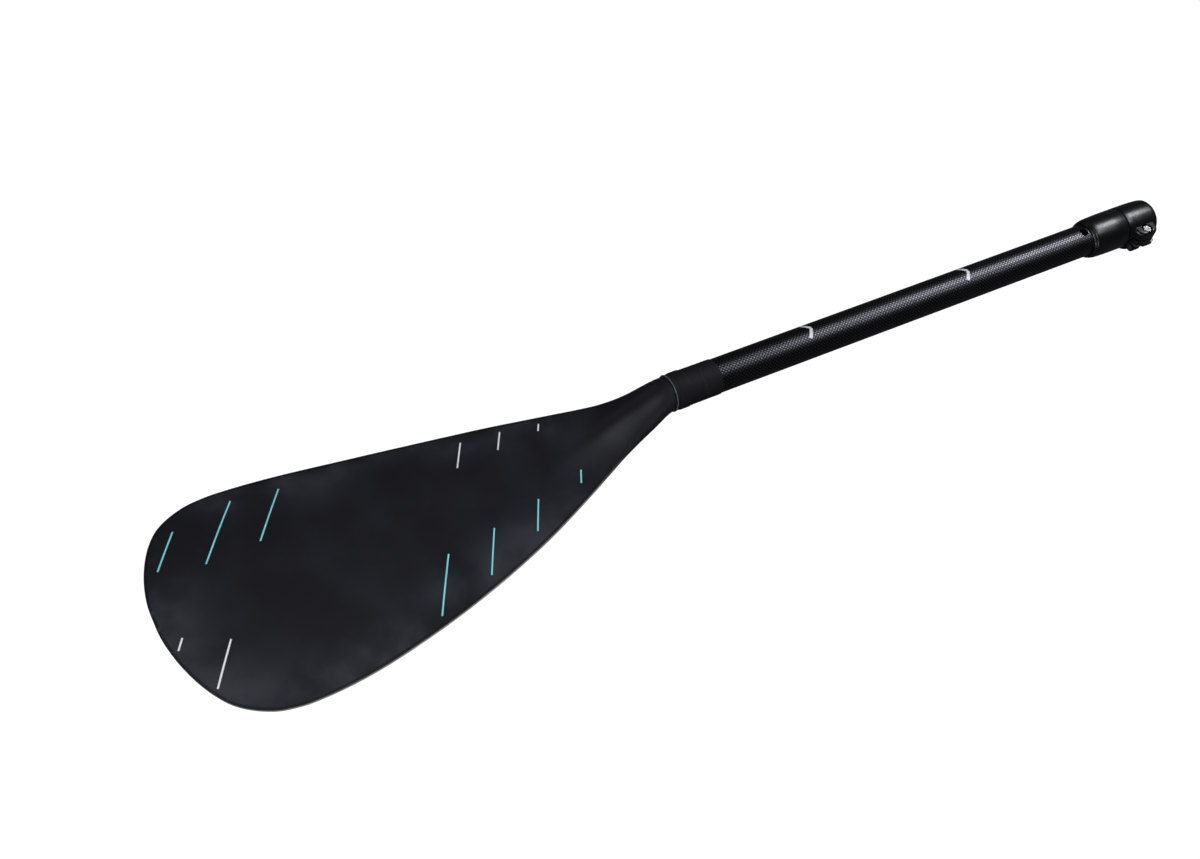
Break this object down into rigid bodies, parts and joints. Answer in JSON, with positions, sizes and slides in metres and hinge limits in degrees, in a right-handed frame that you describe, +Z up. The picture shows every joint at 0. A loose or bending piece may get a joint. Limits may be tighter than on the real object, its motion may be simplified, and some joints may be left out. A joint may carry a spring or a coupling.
{
  "type": "paddle blade section",
  "caption": "Lower section of an adjustable paddle: broad angled blade, tubular shaft and a split clamp collar with a cam lever at the open end.",
  "frame": {"origin": "centre of the bounding box on the floor the part lies on", "axes": "+X along the paddle toward the open clamp end, +Y across the blade, +Z up out of the power face"},
  "size_m": [1.008, 0.2146, 0.0718],
  "materials": {
    "blade_laminate": "satin dark laminate with faint cloudy sheen",
    "core_foam": "closed-cell foam",
    "moulded_nylon": "satin moulded nylon",
    "pale_sealant": "pale bead",
    "shrink_sleeve": "satin shrunk sleeve",
    "woven_carbon": "fine woven carbon under clear coat",
    "bright_steel": "bright stainless",
    "dark_steel": "dark stainless"
  },
  "bodies": {
    "paddle": {"blade_front_skin": "blade_laminate", "blade_back_skin": "blade_laminate", "blade_core": "core_foam", "neck_tenon": "moulded_nylon", "neck_bead": "pale_sealant", "joint_sleeve": "shrink_sleeve", "shaft_tube": "woven_carbon", "float_plug": "core_foam", "clamp_collar": "moulded_nylon", "screw_washer": "bright_steel", "cam_plate": "dark_steel", "lever_barrel": "dark_steel"},
    "lever": {"cam_lever": "moulded_nylon"},
    "screw": {"clamp_screw": "bright_steel"}
  },
  "joints": [
    {"name": "lever_open", "type": "hinge", "parent": "paddle", "child": "lever", "pos_m": [0.48345, -0.0202, 0.01351], "axis": [-0.9982, 0, 0.0595], "range_deg": [0, 115]},
    {"name": "screw_turn", "type": "hinge", "parent": "paddle", "child": "screw", "pos_m": [0.48405, -0.0202, 0.02354], "axis": [0.0595, 0, 0.9982], "continuous": true}
  ]
}
